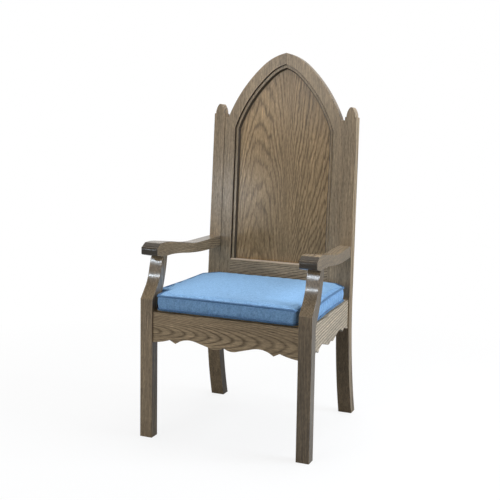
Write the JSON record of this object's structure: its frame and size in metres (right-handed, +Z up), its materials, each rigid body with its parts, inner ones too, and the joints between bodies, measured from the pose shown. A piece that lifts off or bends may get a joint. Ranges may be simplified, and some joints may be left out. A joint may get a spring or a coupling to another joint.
{
  "type": "celebrant chair",
  "caption": "High-backed oak church armchair with a pointed panelled back, curved arm supports, scalloped seat rails and a loose boxed blue cushion.",
  "frame": {"origin": "On the floor under the middle of the chair's width and depth.", "axes": "+Z up, +Y to the back of the chair, +X to the right of someone who faces the chair."},
  "size_m": [0.634, 0.587, 1.3352],
  "materials": {
    "oak": "satin lacquer on stained oak",
    "oak_veneer": "satin lacquer on stained oak veneer with cathedral grain",
    "beech": "planed, unfinished",
    "plywood": "sanded, unfinished",
    "steel": "zinc plated",
    "cushion_fabric": "plain woven upholstery cloth",
    "cushion_welt": "piping in the same woven cloth",
    "foam": "open cell foam"
  },
  "bodies": {
    "chair_frame": {"apex_dowels": "beech", "arch_moulding_left": "oak", "arch_moulding_right": "oak", "arch_stile_dowels": "beech", "arm_left": "oak", "arm_post_dowels": "beech", "arm_right": "oak", "arm_support_dowels": "beech", "back_arch_left": "oak", "back_arch_right": "oak", "back_bottom_rail": "oak", "back_corner_block_left": "beech", "back_corner_block_right": "beech", "back_panel": "oak_veneer", "back_post_left": "oak", "back_post_right": "oak", "back_stile_left": "oak", "back_stile_right": "oak", "bottom_rail_dowels": "beech", "corner_block_screws": "steel", "front_corner_block_left": "beech", "front_corner_block_right": "beech", "front_leg_left": "oak", "front_leg_right": "oak", "front_rail": "oak", "panel_moulding_left": "oak", "panel_moulding_right": "oak", "rear_seat_rail": "oak", "seat_board": "plywood", "seat_board_screws": "steel", "side_rail_left": "oak", "side_rail_right": "oak", "stile_post_dowels": "beech"},
    "cushion": {"cushion_cover": "cushion_fabric", "cushion_foam": "foam", "cushion_top_welt": "cushion_welt", "cushion_bottom_welt": "cushion_welt"}
  },
  "joints": [
    {"name": "cushion_lift", "type": "slide", "parent": "chair_frame", "child": "cushion", "axis": [0, 0, 1], "range_m": [0, 0.04]}
  ]
}
